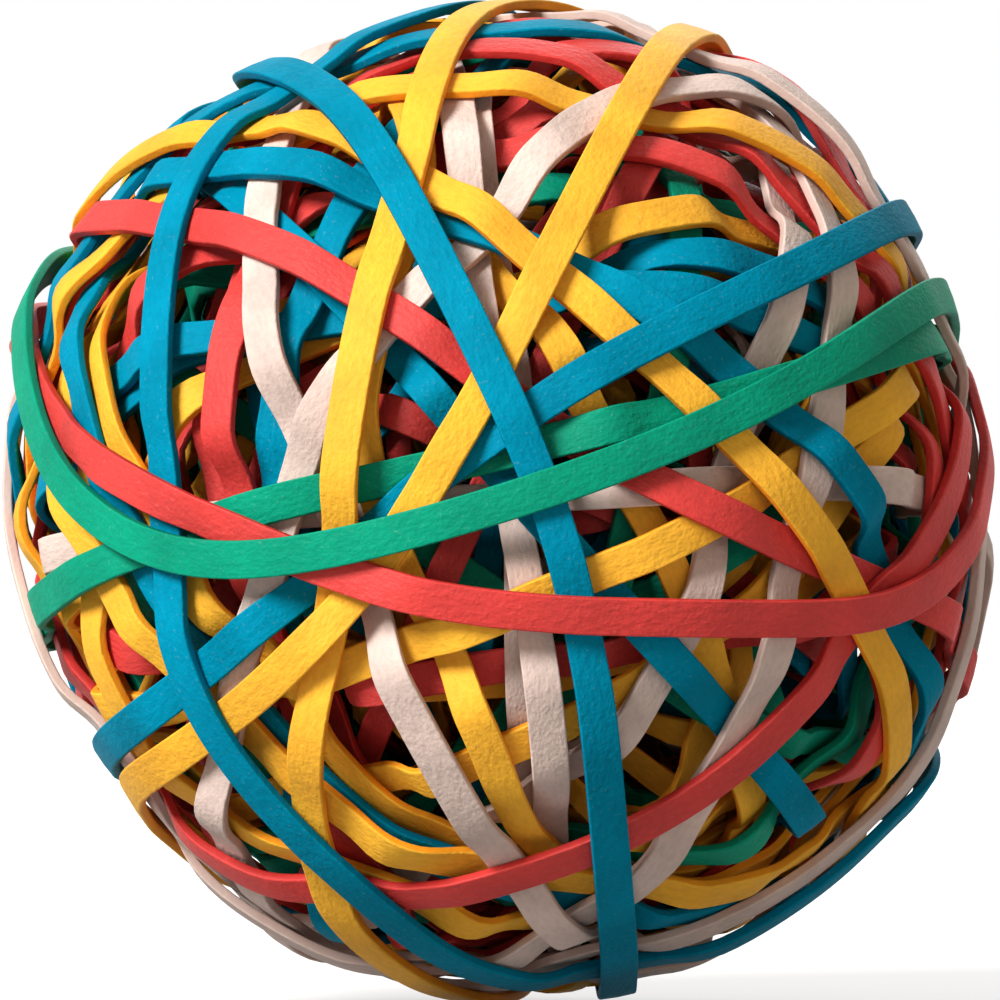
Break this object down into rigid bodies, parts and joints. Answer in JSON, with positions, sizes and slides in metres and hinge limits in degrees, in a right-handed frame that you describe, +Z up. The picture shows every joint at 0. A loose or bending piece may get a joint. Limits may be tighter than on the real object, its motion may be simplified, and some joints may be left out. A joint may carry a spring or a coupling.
{
  "type": "rubber band ball",
  "caption": "Ball wound from stretched rubber bands in red, yellow, blue, green and cream, criss-crossing in layers over a packed inside.",
  "frame": {"origin": "bottom centre of the ball's box, where it would touch a level surface", "axes": "+Z up as in the picture, -Y towards the camera of the picture, +X to the right of the picture"},
  "size_m": [0.0789, 0.0804, 0.0794],
  "materials": {
    "rubber_inner": "packed rubber bands in the shade of the outer ones, all five colours mixed",
    "rubber_red": "matt red rubber with a faint crepe",
    "rubber_yellow": "matt yellow rubber with a faint crepe",
    "rubber_blue": "matt turquoise-blue rubber with a faint crepe",
    "rubber_green": "matt green rubber with a faint crepe",
    "rubber_cream": "matt off-white rubber, slightly pink in the shade"
  },
  "bodies": {
    "root": {"inner_bands": "rubber_inner", "band_01_red": "rubber_red", "band_02_red": "rubber_red", "band_03_yellow": "rubber_yellow", "band_04_blue": "rubber_blue", "band_05_red": "rubber_red", "band_06_cream": "rubber_cream", "band_07_yellow": "rubber_yellow", "band_08_yellow": "rubber_yellow", "band_09_cream": "rubber_cream", "band_10_green": "rubber_green", "band_11_blue": "rubber_blue", "band_12_blue": "rubber_blue", "band_13_red": "rubber_red", "band_14_cream": "rubber_cream", "band_15_yellow": "rubber_yellow", "band_16_green": "rubber_green", "band_17_red": "rubber_red", "band_18_cream": "rubber_cream", "band_19_blue": "rubber_blue", "band_20_yellow": "rubber_yellow", "band_21_yellow": "rubber_yellow", "band_22_yellow": "rubber_yellow", "band_23_yellow": "rubber_yellow", "band_24_yellow": "rubber_yellow", "band_25_blue": "rubber_blue", "band_26_yellow": "rubber_yellow", "band_27_red": "rubber_red", "band_28_yellow": "rubber_yellow", "band_29_cream": "rubber_cream", "band_30_red": "rubber_red", "band_31_red": "rubber_red", "band_32_cream": "rubber_cream", "band_33_yellow": "rubber_yellow", "band_34_cream": "rubber_cream", "band_35_cream": "rubber_cream", "band_36_blue": "rubber_blue", "band_37_blue": "rubber_blue", "band_38_red": "rubber_red", "band_39_red": "rubber_red", "band_40_green": "rubber_green", "band_41_yellow": "rubber_yellow", "band_42_blue": "rubber_blue", "band_43_yellow": "rubber_yellow", "band_44_yellow": "rubber_yellow", "band_45_cream": "rubber_cream", "band_46_cream": "rubber_cream", "band_47_blue": "rubber_blue", "band_48_blue": "rubber_blue", "band_49_red": "rubber_red", "band_50_green": "rubber_green"}
  },
  "joints": []
}
